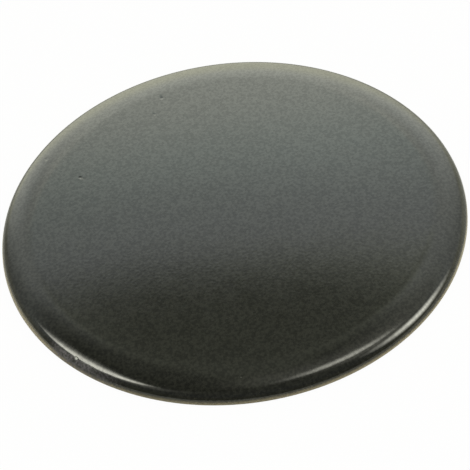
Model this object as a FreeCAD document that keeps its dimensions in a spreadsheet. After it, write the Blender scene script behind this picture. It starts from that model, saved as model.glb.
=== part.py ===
"""Gas burner cap: one piece of pressed steel under satin black enamel.

The cap is a shallow lid. Its top is flat and falls through a broad shoulder into a rounded rim.
The rim turns down into a narrow foot, which the cap rests on when it is off the burner.
Inside the rim the underside is recessed to a flat seat, and a locating ring stands on that seat.
The seat lies on top of the burner crown, and the ring drops into the crown's mouth and centres the cap.

Units are millimetres. The cap's axis is Z and its foot is at Z = 0.
"""
import FreeCAD
import Part
import Sketcher

import math
import os

# Driving dimensions: alias in the sheet, value, what it sets.
DIMENSIONS = [
    ("outer_diameter", 100.0, "across the rim at its widest"),
    ("shoulder_width", 6.0, "radial width of the shoulder arc"),
    ("shoulder_drop", 0.85, "fall of the shoulder arc"),
    ("edge_radius", 2.3, "rounding of the rim's upper edge"),
    ("rim_land", 0.1, "straight band at the rim's widest"),
    ("lower_radius", 0.3, "rounding of the rim's lower edge"),
    ("foot_width", 1.9, "flat ring under the rim, before its inner edge is broken"),
    ("lip_draft", 12.0, "lean of the rim's inner wall, in degrees"),
    ("lip_edge_chamfer", 0.3, "bevel between the foot and the rim's inner wall"),
    ("plate_thickness", 1.9, "metal between the top face and the seat"),
    ("corner_radius", 0.6, "fillet between the rim's inner wall and the seat"),
    ("ring_diameter", 66.0, "outside of the locating ring"),
    ("ring_width", 2.4, "width of the locating ring at its lower face"),
    ("ring_gap", 0.3, "height of the ring's lower face above the foot"),
    ("ring_draft", 10.0, "lean of the ring's inner wall, in degrees"),
    ("ring_edge_chamfer", 0.3, "bevels on the ring's lower edges"),
]
VALUE = {alias: value for alias, value, note in DIMENSIONS}

NODE = "burner_cap"
SHEET = "Dimensions"
PROFILE = "CapProfile"
ON_EDGE = 0.01  # how near an edge has to lie to the radius and height asked for
SIZE_OF = {"Fillet": "Radius", "Chamfer": "Size"}  # the property that sets each kind's size
START, END = 1, 2  # which end of a sketch's line or arc
ORIGIN = -1  # a sketch's own origin


def cell(alias):
    return f"{SHEET}.{alias}"


SEAT_FORMULA = f"{PROFILE}.Constraints.flat_height - {cell('plate_thickness')} * 1 mm"


def make_sheet(doc):
    """The spreadsheet of driving dimensions, one row each: alias, value, note."""
    sheet = doc.addObject("Spreadsheet::Sheet", SHEET)
    for row, (alias, value, note) in enumerate(DIMENSIONS, start=1):
        sheet.set(f"A{row}", alias)
        sheet.set(f"B{row}", str(value))
        sheet.set(f"C{row}", note)
        sheet.setAlias(f"B{row}", alias)
    doc.recompute()


# Sketching

def section_sketch(body, name):
    """A sketch on the body's XZ plane: across is the radius, up is the height."""
    sketch = body.newObject("Sketcher::SketchObject", name)
    plane = next(f for f in body.Origin.OriginFeatures if f.Role == "XZ_Plane")
    sketch.AttachmentSupport = [(plane, "")]
    sketch.MapMode = "FlatFace"
    return sketch


def point(radius, height):
    return FreeCAD.Vector(radius, height, 0)


def line(sketch, first, last):
    return sketch.addGeometry(Part.LineSegment(point(*first), point(*last)), False)


def arc(sketch, centre, radius, start_deg, end_deg):
    """A circular arc, drawn anticlockwise from start_deg to end_deg."""
    circle = Part.Circle(point(*centre), FreeCAD.Vector(0, 0, 1), radius)
    ends = math.radians(start_deg), math.radians(end_deg)
    return sketch.addGeometry(Part.ArcOfCircle(circle, *ends), False)


def fix(sketch, kind, *where):
    return sketch.addConstraint(Sketcher.Constraint(kind, *where))


def size(sketch, name, formula, kind, *where):
    """A dimension of the sketch that follows a formula over the sheet."""
    index = fix(sketch, kind, *where)
    sketch.renameConstraint(index, name)
    sketch.setExpression(f"Constraints.{name}", formula)


def turn(body, sketch, kind, name):
    """Turns a section a full circle about Z, adding metal or cutting it away."""
    body.Document.recompute()
    feature = body.newObject(kind, name)
    feature.Profile = sketch
    feature.ReferenceAxis = (sketch, ["V_Axis"])
    feature.Angle = 360
    sketch.Visibility = False
    body.Document.recompute()
    return feature


# The outer form

def profile_start():
    """Where the outline's arcs lie for the sheet's values, to draw the sketch with."""
    radius = VALUE["outer_diameter"] / 2
    fall = 2 * math.atan2(VALUE["shoulder_drop"], VALUE["shoulder_width"])
    shoulder_radius = VALUE["shoulder_width"] / math.sin(fall)
    equator = VALUE["lower_radius"] + VALUE["rim_land"]
    edge_centre = (radius - VALUE["edge_radius"], equator)
    reach = shoulder_radius - VALUE["edge_radius"]
    flat_radius = edge_centre[0] - reach * math.sin(fall)
    shoulder_centre = (flat_radius, equator - reach * math.cos(fall))
    return {
        "radius": radius,
        "equator": equator,
        "edge_centre": edge_centre,
        "shoulder_centre": shoulder_centre,
        "shoulder_radius": shoulder_radius,
        "shoulder_end": 90 - math.degrees(fall),
        "flat_radius": flat_radius,
        "flat_height": shoulder_centre[1] + shoulder_radius,
    }


def cap_blank(body):
    """The cap's outer form with a solid underside: flat top, shoulder, rounded rim."""
    p = profile_start()
    lower = VALUE["lower_radius"]
    sketch = section_sketch(body, PROFILE)
    top = line(sketch, (p["flat_radius"], p["flat_height"]), (0, p["flat_height"]))
    shoulder = arc(sketch, p["shoulder_centre"], p["shoulder_radius"], p["shoulder_end"], 90)
    edge = arc(sketch, p["edge_centre"], VALUE["edge_radius"], 0, p["shoulder_end"])
    land = line(sketch, (p["radius"], p["equator"]), (p["radius"], lower))
    lower_edge = arc(sketch, (p["radius"] - lower, lower), lower, 270, 360)
    underside = line(sketch, (p["radius"] - lower, 0), (0, 0))
    axis = line(sketch, (0, 0), (0, p["flat_height"]))

    fix(sketch, "Coincident", underside, END, ORIGIN, START)
    fix(sketch, "Coincident", axis, START, ORIGIN, START)
    fix(sketch, "Coincident", axis, END, top, END)
    fix(sketch, "Vertical", axis)
    fix(sketch, "Vertical", land)
    fix(sketch, "Horizontal", underside)
    fix(sketch, "Horizontal", top)
    fix(sketch, "Tangent", top, START, shoulder, END)
    fix(sketch, "Tangent", shoulder, START, edge, END)
    fix(sketch, "Tangent", edge, START, land, START)
    fix(sketch, "Tangent", land, END, lower_edge, END)
    fix(sketch, "Tangent", lower_edge, START, underside, START)

    width, drop = VALUE["shoulder_width"], VALUE["shoulder_drop"]
    radius_formula = cell("outer_diameter") + " / 2"
    size(sketch, "outer_radius", radius_formula, "DistanceX", ORIGIN, START, land, START, p["radius"])
    size(sketch, "edge_radius", cell("edge_radius"), "Radius", edge, VALUE["edge_radius"])
    size(sketch, "rim_land", cell("rim_land"), "DistanceY", land, END, land, START, VALUE["rim_land"])
    size(sketch, "lower_radius", cell("lower_radius"), "Radius", lower_edge, lower)
    size(sketch, "width", cell("shoulder_width"), "DistanceX", shoulder, END, shoulder, START, width)
    size(sketch, "drop", cell("shoulder_drop"), "DistanceY", shoulder, START, shoulder, END, drop)
    # The top's height is measured, not set: the plate's thickness hangs from it.
    measured = fix(sketch, "DistanceY", ORIGIN, START, top, START, p["flat_height"])
    sketch.setDriving(measured, False)
    sketch.renameConstraint(measured, "flat_height")

    return turn(body, sketch, "PartDesign::Revolution", "CapBlank")


# The underside

def underside_corners(body):
    """Radii and heights of the underside's corners, before they are softened."""
    seat = body.Document.getObject(PROFILE).getDatum("flat_height").Value - VALUE["plate_thickness"]
    mouth = VALUE["outer_diameter"] / 2 - VALUE["lower_radius"] - VALUE["foot_width"]
    face = VALUE["ring_gap"]
    outer = VALUE["ring_diameter"] / 2
    inner = outer - VALUE["ring_width"]
    return {
        "mouth": (mouth, 0),
        "corner": (mouth - seat * math.tan(math.radians(VALUE["lip_draft"])), seat),
        "ring_outer": (outer, face),
        "ring_outer_root": (outer, seat),
        "ring_inner": (inner, face),
        "ring_inner_root": (inner - (seat - face) * math.tan(math.radians(VALUE["ring_draft"])), seat),
        "seat_centre": (0, seat),
    }


def underside_recess(body):
    """The hollow inside the rim, with a leaning wall and a flat roof: the seat."""
    at = underside_corners(body)
    mouth, seat = at["mouth"][0], at["seat_centre"][1]
    sketch = section_sketch(body, "RecessProfile")
    opening = line(sketch, (0, 0), at["mouth"])
    wall = line(sketch, at["mouth"], at["corner"])
    roof = line(sketch, at["corner"], at["seat_centre"])
    axis = line(sketch, at["seat_centre"], (0, 0))

    fix(sketch, "Coincident", opening, START, ORIGIN, START)
    fix(sketch, "Coincident", opening, END, wall, START)
    fix(sketch, "Coincident", wall, END, roof, START)
    fix(sketch, "Coincident", roof, END, axis, START)
    fix(sketch, "Coincident", axis, END, ORIGIN, START)
    fix(sketch, "Horizontal", opening)
    fix(sketch, "Horizontal", roof)
    fix(sketch, "Vertical", axis)

    mouth_formula = f"{cell('outer_diameter')} / 2 - {cell('lower_radius')} - {cell('foot_width')}"
    size(sketch, "mouth_radius", mouth_formula, "DistanceX", opening, START, opening, END, mouth)
    size(sketch, "seat_height", SEAT_FORMULA, "DistanceY", axis, END, axis, START, seat)
    lean = math.radians(90 + VALUE["lip_draft"])
    size(sketch, "wall_lean", f"(90 + {cell('lip_draft')}) * 1 deg", "Angle", wall, lean)

    return turn(body, sketch, "PartDesign::Groove", "UndersideRecess")


def locating_ring(body):
    """The ring that stands down from the seat: upright outside, leaning inside."""
    at = underside_corners(body)
    (outer, face_height), seat = at["ring_outer"], at["seat_centre"][1]
    sketch = section_sketch(body, "RingProfile")
    outside = line(sketch, at["ring_outer_root"], at["ring_outer"])
    face = line(sketch, at["ring_outer"], at["ring_inner"])
    inside = line(sketch, at["ring_inner"], at["ring_inner_root"])
    root = line(sketch, at["ring_inner_root"], at["ring_outer_root"])

    fix(sketch, "Coincident", outside, END, face, START)
    fix(sketch, "Coincident", face, END, inside, START)
    fix(sketch, "Coincident", inside, END, root, START)
    fix(sketch, "Coincident", root, END, outside, START)
    fix(sketch, "Vertical", outside)
    fix(sketch, "Horizontal", face)
    fix(sketch, "Horizontal", root)

    radius_formula = cell("ring_diameter") + " / 2"
    size(sketch, "ring_radius", radius_formula, "DistanceX", ORIGIN, START, outside, END, outer)
    size(sketch, "ring_gap", cell("ring_gap"), "DistanceY", ORIGIN, START, outside, END, face_height)
    size(sketch, "seat_height", SEAT_FORMULA, "DistanceY", ORIGIN, START, outside, START, seat)
    size(sketch, "ring_width", cell("ring_width"), "DistanceX", face, END, face, START, VALUE["ring_width"])
    lean = math.radians(90 + VALUE["ring_draft"])
    size(sketch, "wall_lean", f"(90 + {cell('ring_draft')}) * 1 deg", "Angle", inside, lean)

    return turn(body, sketch, "PartDesign::Revolution", "LocatingRing")


# Fillets and bevels

def circle_edges(shape):
    """The shape's full-circle edges: name, radius and height of each."""
    for index, edge in enumerate(shape.Edges, start=1):
        if isinstance(edge.Curve, Part.Circle) and edge.isClosed():
            yield f"Edge{index}", edge.Curve.Radius, edge.Curve.Center.z


def soften(body, base, kind, name, alias, places):
    """A fillet or bevel of the sheet's size on the circular edges at these (radius, height) places."""
    names = [
        edge
        for edge, radius, height in circle_edges(base.Shape)
        if any(math.hypot(radius - r, height - h) < ON_EDGE for r, h in places)
    ]
    if len(names) != len(places):
        raise RuntimeError(f"{name}: found {len(names)} of {len(places)} edges to soften")
    feature = body.newObject(f"PartDesign::{kind}", name)
    feature.Base = (base, names)
    feature.setExpression(SIZE_OF[kind], cell(alias))
    body.Document.recompute()
    return feature


def soften_edges(body, base):
    """Rounds the recess corner, and bevels the foot's inner edge and the ring's lower edges."""
    at = underside_corners(body)
    base = soften(body, base, "Fillet", "RecessCorner", "corner_radius", [at["corner"]])
    base = soften(body, base, "Chamfer", "FootEdge", "lip_edge_chamfer", [at["mouth"]])
    rims = [at["ring_outer"], at["ring_inner"]]
    return soften(body, base, "Chamfer", "RingEdges", "ring_edge_chamfer", rims)


# Checking and writing

def check(doc, body, blank, recess, ring):
    """Stops on an object that failed to build, a turned section that did nothing, or a bad solid."""
    failed = [o.Label for o in doc.Objects if {"Invalid", "Error"} & set(o.State)]
    if failed:
        raise RuntimeError(f"these objects failed to build: {failed}")
    if not recess.Shape.Volume < ring.Shape.Volume < blank.Shape.Volume:
        raise RuntimeError("the recess cut nothing or the ring added nothing")
    shape = body.Shape
    if shape.isNull() or not shape.isValid() or len(shape.Solids) != 1:
        raise RuntimeError(f"{body.Label} is not one valid solid")


def main():
    doc = FreeCAD.newDocument("BurnerCap")
    make_sheet(doc)
    body = doc.addObject("PartDesign::Body", "BurnerCap")
    body.Label = NODE
    body.Placement = FreeCAD.Placement()
    blank = cap_blank(body)
    recess = underside_recess(body)
    ring = locating_ring(body)
    body.Tip = soften_edges(body, ring)
    doc.recompute()
    check(doc, body, blank, recess, ring)

    os.makedirs("parts", exist_ok=True)
    body.Shape.exportStep(os.path.join("parts", f"{body.Label}.step"))
    box = body.Shape.optimalBoundingBox()
    seat = underside_corners(body)["seat_centre"][1]
    print(f"{body.Label}: {box.XLength:.2f} x {box.YLength:.2f} x {box.ZLength:.2f} mm,")
    print(f"seat {seat:.5f} mm above the foot, {body.Shape.Volume / 1000:.2f} cm3 of metal")


main()
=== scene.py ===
import bmesh
import bpy
import math
from mathutils import Matrix, Quaternion, Vector, noise


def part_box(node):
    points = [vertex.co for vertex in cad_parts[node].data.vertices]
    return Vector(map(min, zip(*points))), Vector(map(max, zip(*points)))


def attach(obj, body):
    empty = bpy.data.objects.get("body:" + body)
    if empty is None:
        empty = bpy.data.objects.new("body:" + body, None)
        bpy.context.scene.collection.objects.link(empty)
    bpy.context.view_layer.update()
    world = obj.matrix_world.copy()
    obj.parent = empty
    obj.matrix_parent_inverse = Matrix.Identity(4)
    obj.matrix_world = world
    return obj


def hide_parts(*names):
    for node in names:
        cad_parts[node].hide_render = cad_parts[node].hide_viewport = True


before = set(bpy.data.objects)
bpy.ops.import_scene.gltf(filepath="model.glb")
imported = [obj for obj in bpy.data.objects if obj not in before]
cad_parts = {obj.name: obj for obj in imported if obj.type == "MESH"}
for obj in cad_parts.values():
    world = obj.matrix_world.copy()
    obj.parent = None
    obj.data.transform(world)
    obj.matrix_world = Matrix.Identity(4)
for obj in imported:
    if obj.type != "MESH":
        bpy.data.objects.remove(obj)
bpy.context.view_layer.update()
mm = 0.001
scene = bpy.context.scene


# Small helpers for node trees

def setOrLink(tree, socket, value):
    if isinstance(value, bpy.types.NodeSocket):
        tree.links.new(value, socket)
    else:
        socket.default_value = value


def mathNode(tree, operation, first, second=0.0, clamp=False):
    node = tree.nodes.new("ShaderNodeMath")
    node.operation = operation
    node.use_clamp = clamp
    setOrLink(tree, node.inputs[0], first)
    setOrLink(tree, node.inputs[1], second)
    return node.outputs[0]


def ramp(tree, value, low, high, fromValue=0.0, toValue=1.0):  # smooth rise between low and high
    node = tree.nodes.new("ShaderNodeMapRange")
    node.interpolation_type = "SMOOTHSTEP"
    setOrLink(tree, node.inputs["Value"], value)
    node.inputs["From Min"].default_value = low
    node.inputs["From Max"].default_value = high
    node.inputs["To Min"].default_value = fromValue
    node.inputs["To Max"].default_value = toValue
    return node.outputs["Result"]


def noiseAt(tree, vector, size, detail, roughness, seed):  # size in metres
    node = tree.nodes.new("ShaderNodeTexNoise")
    node.noise_dimensions = "4D"
    tree.links.new(vector, node.inputs["Vector"])
    node.inputs["W"].default_value = seed
    node.inputs["Scale"].default_value = 1.0 / size
    node.inputs["Detail"].default_value = detail
    node.inputs["Roughness"].default_value = roughness
    return node.outputs["Fac"]


def attributeOf(tree, name):
    node = tree.nodes.new("ShaderNodeAttribute")
    node.attribute_name = name
    return node.outputs["Fac"]


def mixColours(tree, factor, first, second):
    node = tree.nodes.new("ShaderNodeMix")
    node.data_type = "RGBA"
    setOrLink(tree, node.inputs["Factor"], factor)
    setOrLink(tree, node.inputs["A"], first)
    setOrLink(tree, node.inputs["B"], second)
    return node.outputs["Result"]


# Enamel

enamelLook = {
    "dark": (0.0052, 0.0054, 0.0040, 1.0),
    "light": (0.0118, 0.0121, 0.0090, 1.0),
    "shadeRange": (0.32, 0.68),           # from dark to light
    "sandShare": 0.75,                    # of the shade, the rest is mottle
    "thinCoatAndReflection": (0.34, 0.29, 0.195, 1.0),    # pale lower edge: partly a thin coat, partly painted reflection of the pale table
    "paleEdgeRadius": (49.2 * mm, 49.7 * mm),
    "paleEdgeRise": (0.3 * mm, 1.35 * mm),   # it fades out over this height
    "paleEdgeRagged": 0.5 * mm,
    "lampLitLift": 0.5 * mm,                # painted light: it reaches higher where the lamps fall on the edge
    "worn": (0.115, 0.104, 0.122, 1.0),   # rough grey patch on the rim
    "wornRange": (0.35, 0.65),            # of the flecks that break it up
    "wornRough": 0.55,
    "chipped": (0.55, 0.56, 0.53, 1.0),   # bare spot in that patch; also painted highlights on the near side of the pits
    "rough": (0.065, 0.085),
    "gloss": (0.45, 0.55),                # less where the glaze has fine pores
    "glossRange": (0.3, 0.7),             # of the noises behind roughness and gloss
    "ior": 1.6,
    "grainHeight": 0.002 * mm,
    "sand": {"size": 0.54 * mm, "detail": 0.0, "roughness": 0.5, "seed": 5.0},
    "mottle": {"size": 3.2 * mm, "detail": 3.0, "roughness": 0.6, "seed": 1.0},
    "flecks": {"size": 0.45 * mm, "detail": 2.0, "roughness": 0.7, "seed": 3.0},
    "grain": {"size": 0.54 * mm, "detail": 0.0, "roughness": 0.5, "seed": 2.0},
}


def makeEnamel(look):
    material = bpy.data.materials.new("satinEnamel")
    material.use_nodes = True
    tree = material.node_tree
    shader = tree.nodes["Principled BSDF"]
    place = tree.nodes.new("ShaderNodeTexCoord").outputs["Object"]
    sand = noiseAt(tree, place, **look["sand"])
    mottle = noiseAt(tree, place, **look["mottle"])
    flecks = noiseAt(tree, place, **look["flecks"])
    worn = attributeOf(tree, "worn")

    # black that varies finely and broadly
    fine = mathNode(tree, "MULTIPLY", sand, look["sandShare"])
    broad = mathNode(tree, "MULTIPLY", mottle, 1 - look["sandShare"])
    shade = ramp(tree, mathNode(tree, "ADD", fine, broad), *look["shadeRange"])
    colour = mixColours(tree, shade, look["dark"], look["light"])

    # pale lower edge: partly a thin coat, partly painted reflection of the table below
    radius = tree.nodes.new("ShaderNodeVectorMath")
    radius.operation = "LENGTH"
    tree.links.new(place, radius.inputs[0])
    rim = ramp(tree, radius.outputs["Value"], *look["paleEdgeRadius"])
    height = tree.nodes.new("ShaderNodeSeparateXYZ")
    tree.links.new(place, height.inputs[0])
    ragged = mathNode(tree, "MULTIPLY", mathNode(tree, "SUBTRACT", flecks, 0.5), look["paleEdgeRagged"])
    # painted light: the pale band rises higher at the sides facing the lamps
    lifted = mathNode(tree, "MULTIPLY", attributeOf(tree, "lampLitEdge"), look["lampLitLift"])
    level = mathNode(tree, "SUBTRACT", mathNode(tree, "ADD", height.outputs["Z"], ragged), lifted)
    edge = ramp(tree, level, *look["paleEdgeRise"], 1.0, 0.0)
    colour = mixColours(tree, mathNode(tree, "MULTIPLY", rim, edge), colour, look["thinCoatAndReflection"])

    # rough patch and bare spots, and painted highlights beside the pits
    speckled = mathNode(tree, "MULTIPLY", worn, ramp(tree, flecks, *look["wornRange"]), clamp=True)
    colour = mixColours(tree, speckled, colour, look["worn"])
    # the chip attribute also holds painted highlights on the near side of the pits
    colour = mixColours(tree, attributeOf(tree, "chip"), colour, look["chipped"])
    tree.links.new(colour, shader.inputs["Base Color"])

    roughness = ramp(tree, mottle, *look["glossRange"], *look["rough"])
    roughness = mathNode(tree, "MAXIMUM", roughness, mathNode(tree, "MULTIPLY", worn, look["wornRough"]))
    tree.links.new(roughness, shader.inputs["Roughness"])
    gloss = ramp(tree, sand, *look["glossRange"], *look["gloss"])
    tree.links.new(gloss, shader.inputs["Specular IOR Level"])
    shader.inputs["IOR"].default_value = look["ior"]

    bump = tree.nodes.new("ShaderNodeBump")
    bump.inputs["Strength"].default_value = 1.0
    bump.inputs["Distance"].default_value = look["grainHeight"]
    tree.links.new(noiseAt(tree, place, **look["grain"]), bump.inputs["Height"])
    tree.links.new(bump.outputs["Normal"], shader.inputs["Normal"])
    return material


# The cap: its section is turned about Z by a node tree

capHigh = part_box("burner_cap")[1]
capSize = {
    "radius": capHigh.x,
    "top": capHigh.z,
    "plate": 1.9 * mm,
    "shoulderWidth": 6.0 * mm,
    "shoulderDrop": 0.85 * mm,
    "edgeRound": 2.3 * mm,
    "lowerRound": 0.3 * mm,
    "footInner": 47.8 * mm,
    "footRound": 0.3 * mm,
    "lipLean": math.radians(12),
    "cornerRound": 0.6 * mm,
    "ringOuter": 33.0 * mm,
    "ringWidth": 2.4 * mm,
    "ringFace": 0.3 * mm,
    "ringLean": math.radians(10),
    "ringRound": 0.3 * mm,
    "rootRound": 0.15 * mm,
    "segments": 384,
    "longestStep": 1.4 * mm,     # between rings on the flats
    "shortestStep": 0.01 * mm,
    "arcStep": math.radians(6),  # on a rounding, at most this and no longer than the next
    "arcLength": 0.4 * mm,
    "seamGap": 0.001 * mm,       # closer points become one, at the seam and the poles
    "rippleHeight": 0.006 * mm,
    "rippleSize": 14.0 * mm,
    "seed": 7,
}


def sectionCorners(size):  # sharp corners and the rounding of each, from the top's middle outwards
    fall = 2 * math.atan2(size["shoulderDrop"], size["shoulderWidth"])
    shoulderRound = size["shoulderWidth"] / math.sin(fall)
    flatRadius = size["radius"] - size["edgeRound"] - (shoulderRound - size["edgeRound"]) * math.sin(fall)
    breakRadius = flatRadius + shoulderRound * math.tan(fall / 2)
    edgeHeight = size["top"] - (size["radius"] - breakRadius) * math.tan(fall)
    seat = size["top"] - size["plate"]
    ringInner = size["ringOuter"] - size["ringWidth"]
    lipTop = size["footInner"] - seat * math.tan(size["lipLean"])
    ringRoot = ringInner - (seat - size["ringFace"]) * math.tan(size["ringLean"])
    return [
        (0, size["top"], 0),
        (breakRadius, size["top"], shoulderRound),
        (size["radius"], edgeHeight, size["edgeRound"]),
        (size["radius"], 0, size["lowerRound"]),
        (size["footInner"], 0, size["footRound"]),
        (lipTop, seat, size["cornerRound"]),
        (size["ringOuter"], seat, size["rootRound"]),
        (size["ringOuter"], size["ringFace"], size["ringRound"]),
        (ringInner, size["ringFace"], size["ringRound"]),
        (ringRoot, seat, size["rootRound"]),
        (0, seat, 0),
    ]


def roundCorner(before, corner, after, radius, step):  # points of the arc that rounds one corner
    inward = (before - corner).normalized()
    outward = (after - corner).normalized()
    half = inward.angle(outward) / 2
    centre = corner + (inward + outward).normalized() * radius / math.sin(half)
    start = corner + inward * radius / math.tan(half) - centre
    turn = math.pi - 2 * half
    if inward.x * outward.y - inward.y * outward.x > 0:
        turn = -turn
    count = max(2, math.ceil(abs(turn) / step))
    return [centre + Matrix.Rotation(turn * i / count, 2) @ start for i in range(count + 1)]


def sectionPoints(size):
    corners = [(Vector((r, z)), rounding) for r, z, rounding in sectionCorners(size)]
    outline = [corners[0][0]]
    for (before, _), (corner, rounding), (after, _) in zip(corners, corners[1:], corners[2:]):
        step = min(size["arcStep"], size["arcLength"] / rounding)
        outline += roundCorner(before, corner, after, rounding, step)
    outline.append(corners[-1][0])
    points = [outline[0]]
    for point in outline[1:]:
        gap = (point - points[-1]).length
        if gap < size["shortestStep"]:
            continue
        count = math.ceil(gap / size["longestStep"])
        last = points[-1].copy()
        points += [last.lerp(point, (i + 1) / count) for i in range(count)]
    return points


def sectionObject(points):
    mesh = bpy.data.meshes.new("capSection")
    edges = [(i, i + 1) for i in range(len(points) - 1)]
    mesh.from_pydata([(p.x, 0, p.y) for p in points], edges, [])
    piece = bpy.data.objects.new("burnerCap", mesh)
    scene.collection.objects.link(piece)
    return piece


def latheTree():
    tree = bpy.data.node_groups.new("capLathe", "GeometryNodeTree")
    inputs = {
        "Section": "NodeSocketGeometry",
        "Segments": "NodeSocketInt",
        "Seam Gap": "NodeSocketFloat",
        "Ripple Height": "NodeSocketFloat",
        "Ripple Size": "NodeSocketFloat",
        "Seed": "NodeSocketInt",
        "Enamel": "NodeSocketMaterial",
    }
    for name, kind in inputs.items():
        tree.interface.new_socket(name, in_out="INPUT", socket_type=kind)
    tree.interface.new_socket("Cap", in_out="OUTPUT", socket_type="NodeSocketGeometry")
    link = tree.links.new
    given = tree.nodes.new("NodeGroupInput").outputs
    result = tree.nodes.new("NodeGroupOutput")

    # a grid with a column of section points for each segment
    size = tree.nodes.new("GeometryNodeAttributeDomainSize")
    link(given["Section"], size.inputs["Geometry"])
    rings = size.outputs["Point Count"]
    grid = tree.nodes.new("GeometryNodeMeshGrid")
    link(mathNode(tree, "ADD", given["Segments"], 1), grid.inputs["Vertices X"])
    link(rings, grid.inputs["Vertices Y"])
    index = tree.nodes.new("GeometryNodeInputIndex").outputs["Index"]
    column = mathNode(tree, "FLOOR", mathNode(tree, "DIVIDE", index, rings))
    row = mathNode(tree, "SUBTRACT", index, mathNode(tree, "MULTIPLY", column, rings))

    # each vertex takes its radius and height from the section, and its angle from its column
    sample = tree.nodes.new("GeometryNodeSampleIndex")
    sample.data_type = "FLOAT_VECTOR"
    link(given["Section"], sample.inputs["Geometry"])
    link(tree.nodes.new("GeometryNodeInputPosition").outputs[0], sample.inputs["Value"])
    link(row, sample.inputs["Index"])
    part = tree.nodes.new("ShaderNodeSeparateXYZ")
    link(sample.outputs["Value"], part.inputs[0])
    angle = mathNode(tree, "MULTIPLY", mathNode(tree, "DIVIDE", column, given["Segments"]), 2 * math.pi)
    place = tree.nodes.new("ShaderNodeCombineXYZ")
    link(mathNode(tree, "MULTIPLY", part.outputs["X"], mathNode(tree, "COSINE", angle)), place.inputs["X"])
    link(mathNode(tree, "MULTIPLY", part.outputs["X"], mathNode(tree, "SINE", angle)), place.inputs["Y"])
    link(part.outputs["Z"], place.inputs["Z"])
    turned = tree.nodes.new("GeometryNodeSetPosition")
    link(grid.outputs["Mesh"], turned.inputs["Geometry"])
    link(place.outputs[0], turned.inputs["Position"])
    outward = tree.nodes.new("GeometryNodeFlipFaces")
    link(turned.outputs["Geometry"], outward.inputs["Mesh"])
    closed = tree.nodes.new("GeometryNodeMergeByDistance")
    link(given["Seam Gap"], closed.inputs["Distance"])
    link(outward.outputs["Mesh"], closed.inputs["Geometry"])

    # faint waves of the pressed sheet, only ever below the true form
    waves = tree.nodes.new("ShaderNodeTexNoise")
    waves.noise_dimensions = "4D"
    waves.inputs["Detail"].default_value = 1.0
    link(tree.nodes.new("GeometryNodeInputPosition").outputs[0], waves.inputs["Vector"])
    link(given["Seed"], waves.inputs["W"])
    link(mathNode(tree, "DIVIDE", 1.0, given["Ripple Size"]), waves.inputs["Scale"])
    below = mathNode(tree, "SUBTRACT", waves.outputs["Fac"], 1.0)
    push = tree.nodes.new("ShaderNodeVectorMath")
    push.operation = "SCALE"
    link(tree.nodes.new("GeometryNodeInputNormal").outputs[0], push.inputs[0])
    link(mathNode(tree, "MULTIPLY", below, given["Ripple Height"]), push.inputs["Scale"])
    rippled = tree.nodes.new("GeometryNodeSetPosition")
    link(closed.outputs["Geometry"], rippled.inputs["Geometry"])
    link(push.outputs[0], rippled.inputs["Offset"])

    smooth = tree.nodes.new("GeometryNodeSetShadeSmooth")
    link(rippled.outputs["Geometry"], smooth.inputs["Geometry"])
    real = tree.nodes.new("GeometryNodeRealizeInstances")
    link(smooth.outputs["Geometry"], real.inputs["Geometry"])
    coated = tree.nodes.new("GeometryNodeSetMaterial")
    link(real.outputs["Geometry"], coated.inputs["Geometry"])
    link(given["Enamel"], coated.inputs["Material"])
    link(coated.outputs["Geometry"], result.inputs["Cap"])
    return tree


def turnSection(piece, size, enamel):  # runs the tree and keeps its result as a plain mesh
    modifier = piece.modifiers.new("lathe", "NODES")
    tree = latheTree()
    values = {
        "Segments": size["segments"],
        "Seam Gap": size["seamGap"],
        "Ripple Height": size["rippleHeight"],
        "Ripple Size": size["rippleSize"],
        "Seed": size["seed"],
        "Enamel": enamel,
    }
    modifier.node_group = tree
    for item in tree.interface.items_tree:
        if item.name in values:
            modifier[item.identifier] = values[item.name]
    depsgraph = bpy.context.evaluated_depsgraph_get()
    mesh = bpy.data.meshes.new_from_object(piece.evaluated_get(depsgraph))
    piece.modifiers.clear()
    piece.data = mesh
    mesh.name = "burnerCap"


# Flaws: pits in the top, a rough patch with a chip on the rim; and painted highlights beside the pits and
# painted light on the lower edge

def smoothStep(value, low, high):
    t = min(1.0, max(0.0, (value - low) / (high - low)))
    return t * t * (3 - 2 * t)


def band(value, limits, fades):  # 1 between the limits, with a fade just inside each
    low, high = limits
    begins = smoothStep(value, low, low + fades[0])
    ends = smoothStep(value, high - fades[1], high)
    return begins * (1 - ends)


pits = {
    "spots": [  # x, y, radius, depth, and the strength of the painted highlight on the near side of each
        (-12.3 * mm, 38.6 * mm, 0.55 * mm, 0.028 * mm, 0.05),
        (-14.3 * mm, 33.4 * mm, 0.55 * mm, 0.012 * mm, 0.08),
        (-32.0 * mm, 16.2 * mm, 0.5 * mm, 0.028 * mm, 0.09),
        (-39.4 * mm, 24.0 * mm, 0.8 * mm, 0.02 * mm, 0.12),
        (-2.7 * mm, -45.4 * mm, 0.35 * mm, 0.01 * mm, 0.15),
    ],
    "highlightShift": 0.75,  # of the radius, towards the near side
    "highlightReach": 0.6,
    "below": 1.0 * mm,  # only what is this close to the top is pressed
    "finer": 2.6,       # radii round a pit within which the mesh is made finer
    "cuts": 5,
}


def pitsAt(point):  # how deep the pits are at a point, and how strong their painted highlight is
    sink = 0.0
    pitHighlight = 0.0
    for x, y, radius, depth, pitHighlightLevel in pits["spots"]:
        sink += depth * (1 - smoothStep(math.hypot(point.x - x, point.y - y), 0.0, radius))
        nearSide = math.hypot(point.x - x, point.y - y + pits["highlightShift"] * radius)
        pitHighlight += pitHighlightLevel * (1 - smoothStep(nearSide, 0.0, pits["highlightReach"] * radius))
    return sink, pitHighlight


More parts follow.
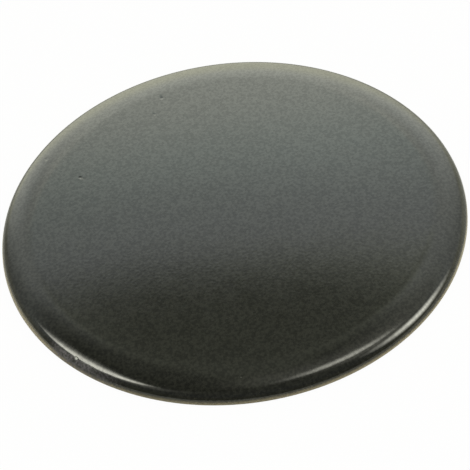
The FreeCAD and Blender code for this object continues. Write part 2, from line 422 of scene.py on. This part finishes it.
patch = {
    "angles": (math.radians(215), math.radians(241)),
    "angleFades": (math.radians(4), math.radians(15)),  # it begins sharply and ends softly
    "heights": (0.25 * mm, 2.65 * mm),
    "heightFades": (0.3 * mm, 0.6 * mm),
    "inner": (48.0 * mm, 48.8 * mm),  # radii over which it fades in
    "depth": 0.05 * mm,
    "grain": 0.5 * mm,
    "finer": 0.001,  # weight above which the mesh is made finer
    "cuts": 2,
}


def patchWeight(point):
    angle = math.atan2(point.y, point.x) % (2 * math.pi)
    along = band(angle, patch["angles"], patch["angleFades"])
    onRim = smoothStep(math.hypot(point.x, point.y), *patch["inner"])
    return along * onRim * band(point.z, patch["heights"], patch["heightFades"])


chip = {
    "angle": math.radians(224.5),
    "away": 48.9 * mm,  # from the axis
    "height": 2.4 * mm,
    "radius": 0.33 * mm,
    "core": 0.5,        # share of its radius that is quite bare
}


def chipWeight(point):
    x = chip["away"] * math.cos(chip["angle"])
    y = chip["away"] * math.sin(chip["angle"])
    away = (point - Vector((x, y, chip["height"]))).length
    return 1 - smoothStep(away, chip["core"] * chip["radius"], chip["radius"])


# painted light: where the lamps fall on it, the pale lower band reaches higher
lampLitEdge = {
    "places": [  # angle, reach and strength along the lower edge
        (math.radians(343), math.radians(22), 0.6),
        (math.radians(192), math.radians(40), 1.3),
    ],
    "core": 0.3,  # share of the reach at full strength
}


def lampLitEdgeWeight(point):
    total = 0.0
    for angle, reach, strength in lampLitEdge["places"]:
        away = (math.atan2(point.y, point.x) - angle + math.pi) % (2 * math.pi) - math.pi
        total += strength * (1 - smoothStep(abs(away), lampLitEdge["core"] * reach, reach))
    return total


def refineNear(shape, wanted, cuts):
    edges = [e for e in shape.edges if all(wanted(v.co) for v in e.verts)]
    bmesh.ops.subdivide_edges(shape, edges=edges, cuts=cuts, use_grid_fill=True)


def pressFlaws(piece):
    shape = bmesh.new()
    shape.from_mesh(piece.data)
    bmesh.ops.recalc_face_normals(shape, faces=shape.faces)
    top = capSize["top"] - pits["below"]
    for x, y, radius, _, _ in pits["spots"]:
        reach = pits["finer"] * radius
        refineNear(shape, lambda p: p.z > top and math.hypot(p.x - x, p.y - y) < reach, pits["cuts"])
    refineNear(shape, lambda p: patchWeight(p) > patch["finer"], patch["cuts"])
    wornLayer = shape.verts.layers.float.new("worn")
    chipAndHighlightLayer = shape.verts.layers.float.new("chip")
    lampLitEdgeLayer = shape.verts.layers.float.new("lampLitEdge")
    shape.normal_update()
    for vert in shape.verts:
        point = vert.co.copy()
        sink, pitHighlight = pitsAt(point) if point.z > top else (0.0, 0.0)
        worn = patchWeight(point)
        if worn > 0:
            rough = 0.5 + 0.5 * noise.noise(point / patch["grain"])
            sink += worn * rough * patch["depth"]
        chipped = chipWeight(point)
        sink += chipped * patch["depth"]
        vert[wornLayer] = worn
        # the chip layer also takes the painted highlights beside the pits
        vert[chipAndHighlightLayer] = chipped + pitHighlight
        vert[lampLitEdgeLayer] = lampLitEdgeWeight(point)
        if sink > 0:
            vert.co = point - vert.normal * sink
    shape.to_mesh(piece.data)
    shape.free()
    piece.data.shade_smooth()


enamel = makeEnamel(enamelLook)
print("enamel made")
cap = sectionObject(sectionPoints(capSize))
turnSection(cap, capSize, enamel)
pressFlaws(cap)
print("cap turned:", len(cap.data.vertices), "vertices,", len(cap.data.polygons), "faces")
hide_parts("burner_cap")
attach(cap, "root")


# Table

tableLook = {
    "radius": 4.0,
    "segments": 96,
    "colour": (0.6, 0.6, 0.57, 1.0),
    "glow": 0.97,     # share of plain white that the eye sees, the rest keeps the shadow
    "mirrored": 0.1,  # the same share in reflections
}


def makeTable(look):
    mesh = bpy.data.meshes.new("table")
    shape = bmesh.new()
    bmesh.ops.create_circle(shape, cap_ends=True, segments=look["segments"], radius=look["radius"])
    shape.to_mesh(mesh)
    shape.free()
    table = bpy.data.objects.new("table", mesh)
    scene.collection.objects.link(table)
    material = bpy.data.materials.new("whiteTable")
    material.use_nodes = True
    tree = material.node_tree
    tree.nodes.clear()
    paint = tree.nodes.new("ShaderNodeBsdfDiffuse")
    paint.inputs["Color"].default_value = look["colour"]
    white = tree.nodes.new("ShaderNodeEmission")
    path = tree.nodes.new("ShaderNodeLightPath").outputs
    direct = mathNode(tree, "MAXIMUM", path["Is Camera Ray"], path["Is Transmission Ray"])
    direct = mathNode(tree, "MULTIPLY", direct, look["glow"])
    mirrored = mathNode(tree, "MULTIPLY", path["Is Glossy Ray"], look["mirrored"])
    mixed = tree.nodes.new("ShaderNodeMixShader")
    tree.links.new(mathNode(tree, "MAXIMUM", direct, mirrored), mixed.inputs[0])
    tree.links.new(paint.outputs[0], mixed.inputs[1])
    tree.links.new(white.outputs[0], mixed.inputs[2])
    tree.links.new(mixed.outputs[0], tree.nodes.new("ShaderNodeOutputMaterial").inputs["Surface"])
    mesh.materials.append(material)


makeTable(tableLook)
print("table laid")


# Studio: a broad pale panel behind, dim light from the sides and the front, three lamps

room = {  # heights and swings in degrees, a swing is from straight behind and positive to the right
    "tints": [  # colour of the light at each height
        (-30, (1.0, 1.0, 0.78)),
        (18, (0.99, 1.0, 0.79)),
        (30, (0.97, 1.0, 0.88)),
        (41.5, (0.96, 1.0, 0.89)),
        (43.5, (0.89, 1.0, 0.93)),
        (46.6, (0.95, 1.0, 1.0)),
        (48.0, (0.95, 1.0, 0.82)),
        (90, (0.95, 1.0, 0.82)),
    ],
    "sideTints": [  # the same further to the sides
        (-30, (1.0, 1.0, 0.78)),
        (18, (0.99, 1.0, 0.80)),
        (26, (0.97, 1.0, 0.90)),
        (34, (0.95, 1.0, 0.93)),
        (48, (0.95, 1.0, 0.95)),
        (56, (0.96, 1.0, 0.89)),
        (90, (0.96, 1.0, 0.89)),
    ],
    "sides": (8, 22),      # swing over which the second colours take over
    "panel": 3.2,          # straight behind, with a sharp upper edge
    "panelRise": [         # share at each height
        (-30, 0.3), (0, 0.6), (20, 0.94), (30, 1.0), (40, 0.97), (43, 0.70), (45, 0.435),
        (46.7, 0.375), (48.0, 0.035), (50, 0.048), (52, 0.08), (65, 0.09), (70, 0.055), (90, 0.02),
    ],
    "panelHalf": (4, 19),  # swing over which the wall takes over
    "panelSlope": 0.067,   # the panel's upper edge rises to the right
    "wall": 2.4,           # to both sides of the panel, softer
    "wallRise": [
        (-30, 0.4), (0, 0.72), (20, 1.2), (25, 1.12), (36, 0.72), (41, 0.54), (48, 0.43),
        (51, 0.35), (54, 0.15), (57, 0.08), (60, 0.04), (90, 0.0),
    ],
    "wallLeft": (-44, -23),
    "wallRight": (15, 45),
    "wallSlope": 0.13,
    "right": {"level": 0.8, "starts": (14, 42), "ends": (50, 130), "fades": (48, 66)},
    "left": {"level": 0.42, "starts": (-100, -70), "ends": (-45, -20), "fades": (44, 58)},
    "front": {"level": 0.07, "starts": (80, 130)},
    "dome": 0.13,          # from everywhere
}


def heightCurve(tree, rise, stops):  # brightness or colour by height above the table
    low, high = stops[0][0], stops[-1][0]
    curve = tree.nodes.new("ShaderNodeValToRGB")
    marks = curve.color_ramp.elements
    while len(marks) < len(stops):
        marks.new(1.0)
    for mark, (degrees, level) in zip(marks, stops):
        mark.position = (degrees - low) / (high - low)
        mark.color = (*level, 1.0) if isinstance(level, tuple) else (level, level, level, 1.0)
    along = mathNode(tree, "DIVIDE", mathNode(tree, "SUBTRACT", rise, low), high - low)
    tree.links.new(along, curve.inputs["Fac"])
    return curve.outputs["Color"]


def slopedRise(tree, rise, swing, slope):  # height as measured along an edge that rises to the right
    return mathNode(tree, "SUBTRACT", rise, mathNode(tree, "MULTIPLY", swing, slope))


def sideFill(tree, rise, swing, fill):  # dim light from one side, gone higher up
    starts = ramp(tree, swing, *fill["starts"])
    ends = ramp(tree, swing, *fill["ends"], 1, 0)
    level = ramp(tree, rise, *fill["fades"], fill["level"], 0)
    return mathNode(tree, "MULTIPLY", mathNode(tree, "MULTIPLY", starts, ends), level)


def makeRoom(look):
    world = bpy.data.worlds.new("studio")
    scene.world = world
    world.use_nodes = True
    tree = world.node_tree
    way = tree.nodes.new("ShaderNodeSeparateXYZ")
    tree.links.new(tree.nodes.new("ShaderNodeTexCoord").outputs["Generated"], way.inputs[0])
    rise = mathNode(tree, "DEGREES", mathNode(tree, "ARCSINE", way.outputs["Z"]))
    swing = mathNode(tree, "DEGREES", mathNode(tree, "ARCTAN2", way.outputs["X"], way.outputs["Y"]))
    aside = mathNode(tree, "ABSOLUTE", swing)

    panelHeight = slopedRise(tree, rise, swing, look["panelSlope"])
    panel = mathNode(tree, "MULTIPLY", heightCurve(tree, panelHeight, look["panelRise"]), look["panel"])
    wallHeight = slopedRise(tree, rise, swing, look["wallSlope"])
    wall = mathNode(tree, "MULTIPLY", heightCurve(tree, wallHeight, look["wallRise"]), look["wall"])
    wall = mathNode(tree, "MULTIPLY", wall, ramp(tree, swing, *look["wallLeft"]))
    wall = mathNode(tree, "MULTIPLY", wall, ramp(tree, swing, *look["wallRight"], 1, 0))
    behind = tree.nodes.new("ShaderNodeMix")
    tree.links.new(ramp(tree, aside, *look["panelHalf"]), behind.inputs["Factor"])
    tree.links.new(panel, behind.inputs["A"])
    tree.links.new(wall, behind.inputs["B"])

    right = sideFill(tree, rise, swing, look["right"])
    left = sideFill(tree, rise, swing, look["left"])
    front = ramp(tree, aside, *look["front"]["starts"], 0, look["front"]["level"])
    total = mathNode(tree, "ADD", behind.outputs["Result"], look["dome"])
    for fill in (right, left, front):
        total = mathNode(tree, "ADD", total, fill)

    middle = heightCurve(tree, rise, look["tints"])
    outer = heightCurve(tree, rise, look["sideTints"])
    shine = tree.nodes["Background"]
    tree.links.new(mixColours(tree, ramp(tree, aside, *look["sides"]), middle, outer), shine.inputs["Color"])
    tree.links.new(total, shine.inputs["Strength"])


lamps = {
    "colour": (1.0, 0.99, 0.86),
    "distance": 1.3,
    "border": 0.05,  # brightness that is left at the border of a lamp's cloth
    "places": {  # as seen from the cap in degrees; even is the evenly bright part; a spill is faint and wide
        "leftLamp": dict(swing=-80.5, rise=56, width=37.5, height=28.5, tilt=17, radiance=8.4, even=0.5),
        "leftSpill": dict(swing=-108, rise=55, width=40, height=36, tilt=0, radiance=0.8, even=0.0),
        "rightLamp": dict(swing=98, rise=37.6, width=42, height=53, tilt=-9, radiance=9.7, even=0.0),
        "overheadLamp": dict(
            swing=51.8, rise=72.5, width=6.2, height=24.4, tilt=-17, radiance=5.0, even=0.1,
        ),
        "overheadSpill": dict(swing=25, rise=78, width=26, height=26, tilt=0, radiance=0.4, even=0.0),
        "rightSpill": dict(swing=70, rise=67, width=44, height=28, tilt=0, radiance=0.8, even=0.0),
    },
}


def softenLamp(lamp, even):  # the cloth in front of a lamp is brightest in its middle
    lamp.use_nodes = True
    tree = lamp.node_tree
    spot = tree.nodes.new("ShaderNodeVectorMath")
    spot.operation = "DISTANCE"
    tree.links.new(tree.nodes.new("ShaderNodeNewGeometry").outputs["Parametric"], spot.inputs[0])
    spot.inputs[1].default_value = (0.5, 0.5, 0.0)
    fade = ramp(tree, spot.outputs["Value"], 0.5 * even, 0.5, 1.0, lamps["border"])
    tree.links.new(fade, tree.nodes["Emission"].inputs["Strength"])


def makeLamp(name, swing, rise, width, height, tilt, radiance, even):
    lamp = bpy.data.lights.new(name, "AREA")
    lamp.shape = "ELLIPSE"
    lamp.size = 2 * lamps["distance"] * math.tan(math.radians(width / 2))
    lamp.size_y = 2 * lamps["distance"] * math.tan(math.radians(height / 2))
    area = math.pi / 4 * lamp.size * lamp.size_y
    lamp.energy = radiance * math.pi * area
    lamp.color = lamps["colour"]
    softenLamp(lamp, even)
    swing = math.radians(swing)
    rise = math.radians(rise)
    away = Vector((math.cos(rise) * math.sin(swing), math.cos(rise) * math.cos(swing), math.sin(rise)))
    holder = bpy.data.objects.new(name, lamp)
    holder.location = away * lamps["distance"]
    holder.rotation_mode = "QUATERNION"
    holder.rotation_quaternion = away.to_track_quat("Z", "Y") @ Quaternion((0, 0, 1), math.radians(tilt))
    scene.collection.objects.link(holder)


makeRoom(room)
for name, place in lamps["places"].items():
    makeLamp(name, **place)
print("studio lit by", len(lamps["places"]), "lamps")


# Camera, where the photo was taken from

view = {
    "aim": Vector((-0.007, -7.729, 3.459)) * mm,
    "distance": 350 * mm,
    "elevation": math.radians(46.312),
    "roll": math.radians(-8.049),
    "lens": 127.43,
    "sensor": 36.0,
    "nearest": 10 * mm,
}


def makeCamera(look):
    camera = bpy.data.cameras.new("camera")
    camera.lens = look["lens"]
    camera.sensor_width = look["sensor"]
    camera.clip_start = look["nearest"]
    holder = bpy.data.objects.new("camera", camera)
    back = Vector((0, -math.cos(look["elevation"]), math.sin(look["elevation"])))
    holder.location = look["aim"] + back * look["distance"]
    holder.rotation_mode = "QUATERNION"
    holder.rotation_quaternion = back.to_track_quat("Z", "Y") @ Quaternion((0, 0, 1), look["roll"])
    scene.collection.objects.link(holder)
    scene.camera = holder


makeCamera(view)
scene.view_settings.view_transform = "Standard"
print("camera placed")

print("scene done")
